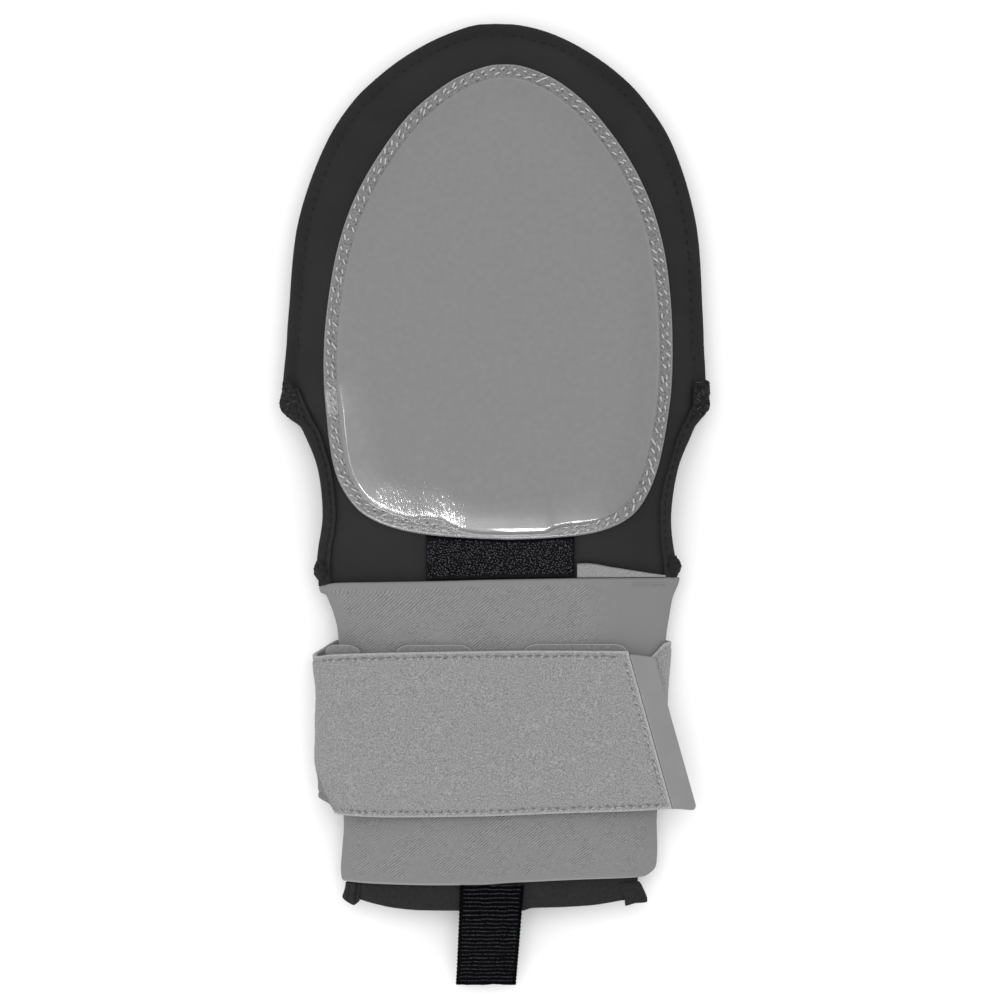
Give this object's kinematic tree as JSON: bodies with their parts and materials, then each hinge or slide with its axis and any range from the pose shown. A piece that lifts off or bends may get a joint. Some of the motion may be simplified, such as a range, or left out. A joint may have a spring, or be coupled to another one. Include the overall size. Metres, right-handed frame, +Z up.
{
  "type": "sliding mitt",
  "caption": "Padded flat mitt worn over a hand when sliding, with a raised guard pad, open thumb slots, an elastic wrist tube, a wrap strap and a pull tab",
  "frame": {"origin": "On the surface that the mitt lies on, under the middle of its outline", "axes": "+Y points from the wrist to the finger tip, +Z up through the back of the hand, +X to the right seen from above"},
  "size_m": [0.1465, 0.327, 0.029],
  "materials": {
    "shell_fabric": "smooth black stretch fabric over padding, soft sheen",
    "guard_rubber": "grey film-faced rubber with a satin gloss and a fine mottle",
    "binding_fabric": "black folded fabric binding, matt",
    "black_thread": "dense black thread",
    "dark_pile": "near-black looped pile",
    "loop_fabric": "light grey brushed loop fabric, grainy and matt",
    "ribbed_elastic": "grey elastic with fine slanted ribs",
    "tab_rubber": "smooth grey rubber, satin",
    "hook_tape": "grey hook tape",
    "webbing": "black webbing with fine cross ribs"
  },
  "bodies": {
    "root": {"back_panel": "shell_fabric", "palm_panel": "shell_fabric", "guard_pad": "guard_rubber", "thumb_binding_left": "binding_fabric", "thumb_binding_right": "binding_fabric", "bar_tack_upper_left": "black_thread", "bar_tack_upper_right": "black_thread", "bar_tack_lower_left": "black_thread", "bar_tack_lower_right": "black_thread", "loop_patch": "dark_pile", "facing_strip": "loop_fabric", "wristband": "ribbed_elastic", "wrist_hem": "binding_fabric", "strap": "loop_fabric", "strap_tab": "tab_rubber", "hook_patch_left": "hook_tape", "hook_patch_middle": "hook_tape", "hook_patch_right": "hook_tape", "pull_tab": "webbing"}
  },
  "joints": []
}
